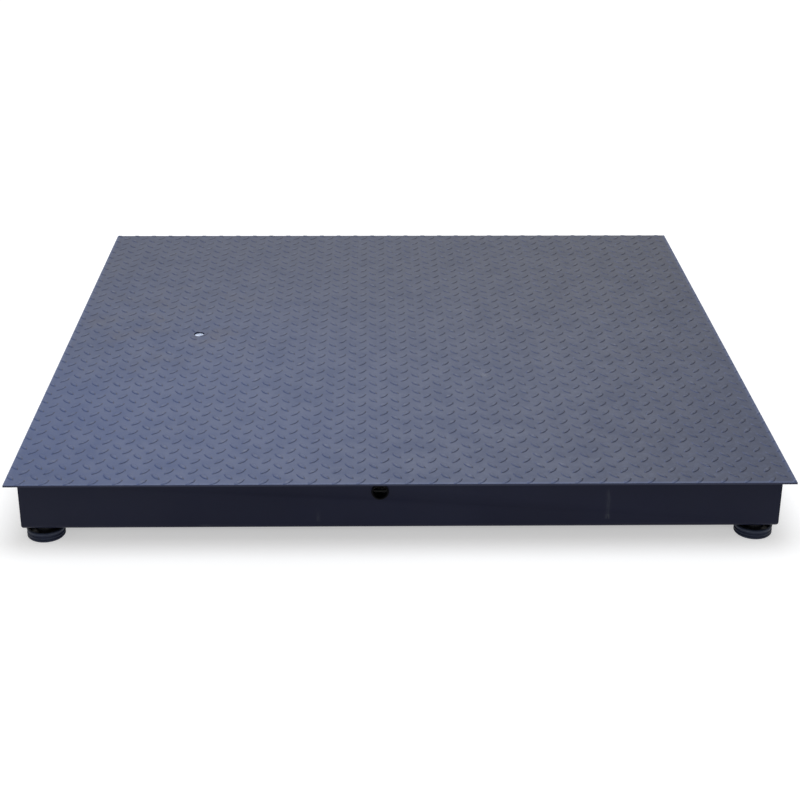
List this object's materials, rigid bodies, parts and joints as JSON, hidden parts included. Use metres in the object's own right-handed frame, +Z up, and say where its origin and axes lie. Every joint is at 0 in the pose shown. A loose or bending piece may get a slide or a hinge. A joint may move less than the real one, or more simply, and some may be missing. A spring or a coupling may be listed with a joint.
{
  "type": "pallet scale",
  "caption": "Low square floor scale: tread-plate deck on a welded channel frame with load cells, a junction box and levelling feet that screw up and down and tilt.",
  "frame": {"origin": "on the floor under the middle of the deck, with the feet screwed fully in", "axes": "+Z up through the deck, -Y towards the side with the cable outlet, +X to the right seen from that side"},
  "size_m": [1.2, 1.2, 0.11],
  "materials": {
    "deck_paint": "satin slate-blue enamel over tread plate, worn on the lugs",
    "frame_paint": "near-black navy enamel, satin",
    "cell_nickel": "nickel-plated ground steel",
    "zinc": "bright zinc plate",
    "pad_steel": "black-navy painted steel",
    "rubber": "moulded black rubber",
    "nylon": "natural nylon",
    "cable_sheath": "black PVC sheath",
    "box_plastic": "light grey moulded ABS",
    "gland_plastic": "dark grey moulded nylon",
    "board": "green solder mask",
    "terminal_plastic": "blue terminal housing",
    "level_glass": "clear vial with pale liquid",
    "level_plastic": "white moulded holder"
  },
  "bodies": {
    "platform": {"deck_plate": "deck_paint", "frame_channel_front": "frame_paint", "frame_channel_rear": "frame_paint", "frame_channel_left": "frame_paint", "frame_channel_right": "frame_paint", "deck_rib_inner_left": "frame_paint", "deck_rib_inner_right": "frame_paint", "deck_rib_middle_left": "frame_paint", "deck_rib_middle_right": "frame_paint", "deck_rib_outer_left": "frame_paint", "deck_rib_outer_right": "frame_paint", "cell_mount_block_front_left": "frame_paint", "load_cell_front_left": "cell_nickel", "cell_bolt_inner_front_left": "zinc", "cell_bolt_outer_front_left": "zinc", "lock_nut_front_left": "zinc", "cell_cable_front_left": "cable_sheath", "cell_mount_block_front_right": "frame_paint", "load_cell_front_right": "cell_nickel", "cell_bolt_inner_front_right": "zinc", "cell_bolt_outer_front_right": "zinc", "lock_nut_front_right": "zinc", "cell_cable_front_right": "cable_sheath", "cell_mount_block_rear_left": "frame_paint", "load_cell_rear_left": "cell_nickel", "cell_bolt_inner_rear_left": "zinc", "cell_bolt_outer_rear_left": "zinc", "lock_nut_rear_left": "zinc", "cell_cable_rear_left": "cable_sheath", "cell_mount_block_rear_right": "frame_paint", "load_cell_rear_right": "cell_nickel", "cell_bolt_inner_rear_right": "zinc", "cell_bolt_outer_rear_right": "zinc", "lock_nut_rear_right": "zinc", "cell_cable_rear_right": "cable_sheath", "junction_box_body": "box_plastic", "junction_box_lid": "box_plastic", "junction_box_gasket": "rubber", "junction_board": "board", "terminal_block": "terminal_plastic", "output_gland": "gland_plastic", "cable_grommet": "rubber", "level_vial": "level_glass", "level_holder": "level_plastic"},
    "foot_front_left": {"ball_seat_front_left": "nylon"},
    "stud_front_left": {"foot_stud_front_left": "zinc"},
    "pad_front_left": {"pad_base_front_left": "pad_steel", "pad_sole_front_left": "rubber"},
    "foot_front_right": {"ball_seat_front_right": "nylon"},
    "stud_front_right": {"foot_stud_front_right": "zinc"},
    "pad_front_right": {"pad_base_front_right": "pad_steel", "pad_sole_front_right": "rubber"},
    "foot_rear_left": {"ball_seat_rear_left": "nylon"},
    "stud_rear_left": {"foot_stud_rear_left": "zinc"},
    "pad_rear_left": {"pad_base_rear_left": "pad_steel", "pad_sole_rear_left": "rubber"},
    "foot_rear_right": {"ball_seat_rear_right": "nylon"},
    "stud_rear_right": {"foot_stud_rear_right": "zinc"},
    "pad_rear_right": {"pad_base_rear_right": "pad_steel", "pad_sole_rear_right": "rubber"}
  },
  "joints": [
    {"name": "foot_height_front_left", "type": "slide", "parent": "platform", "child": "foot_front_left", "axis": [0, 0, 1], "range_m": [-0.02, 0]},
    {"name": "foot_turn_front_left", "type": "hinge", "parent": "foot_front_left", "child": "stud_front_left", "pos_m": [-0.5515, -0.5515, 0.0155], "axis": [0, 0, 1], "range_deg": [-4114.3, 0]},
    {"name": "pad_tilt_front_left", "type": "hinge", "parent": "foot_front_left", "child": "pad_front_left", "pos_m": [-0.5515, -0.5515, 0.0155], "axis": [1, 0, 0], "range_deg": [-6, 6]},
    {"name": "foot_height_front_right", "type": "slide", "parent": "platform", "child": "foot_front_right", "axis": [0, 0, 1], "range_m": [-0.02, 0]},
    {"name": "foot_turn_front_right", "type": "hinge", "parent": "foot_front_right", "child": "stud_front_right", "pos_m": [0.5515, -0.5515, 0.0155], "axis": [0, 0, 1], "range_deg": [-4114.3, 0]},
    {"name": "pad_tilt_front_right", "type": "hinge", "parent": "foot_front_right", "child": "pad_front_right", "pos_m": [0.5515, -0.5515, 0.0155], "axis": [1, 0, 0], "range_deg": [-6, 6]},
    {"name": "foot_height_rear_left", "type": "slide", "parent": "platform", "child": "foot_rear_left", "axis": [0, 0, 1], "range_m": [-0.02, 0]},
    {"name": "foot_turn_rear_left", "type": "hinge", "parent": "foot_rear_left", "child": "stud_rear_left", "pos_m": [-0.5515, 0.5515, 0.0155], "axis": [0, 0, 1], "range_deg": [-4114.3, 0]},
    {"name": "pad_tilt_rear_left", "type": "hinge", "parent": "foot_rear_left", "child": "pad_rear_left", "pos_m": [-0.5515, 0.5515, 0.0155], "axis": [1, 0, 0], "range_deg": [-6, 6]},
    {"name": "foot_height_rear_right", "type": "slide", "parent": "platform", "child": "foot_rear_right", "axis": [0, 0, 1], "range_m": [-0.02, 0]},
    {"name": "foot_turn_rear_right", "type": "hinge", "parent": "foot_rear_right", "child": "stud_rear_right", "pos_m": [0.5515, 0.5515, 0.0155], "axis": [0, 0, 1], "range_deg": [-4114.3, 0]},
    {"name": "pad_tilt_rear_right", "type": "hinge", "parent": "foot_rear_right", "child": "pad_rear_right", "pos_m": [0.5515, 0.5515, 0.0155], "axis": [1, 0, 0], "range_deg": [-6, 6]}
  ],
  "couplings": [
    {"joint": "foot_turn_front_left", "follows": "foot_height_front_left", "rad_per_m": 3590.4},
    {"joint": "foot_turn_front_right", "follows": "foot_height_front_right", "rad_per_m": 3590.4},
    {"joint": "foot_turn_rear_left", "follows": "foot_height_rear_left", "rad_per_m": 3590.4},
    {"joint": "foot_turn_rear_right", "follows": "foot_height_rear_right", "rad_per_m": 3590.4}
  ]
}
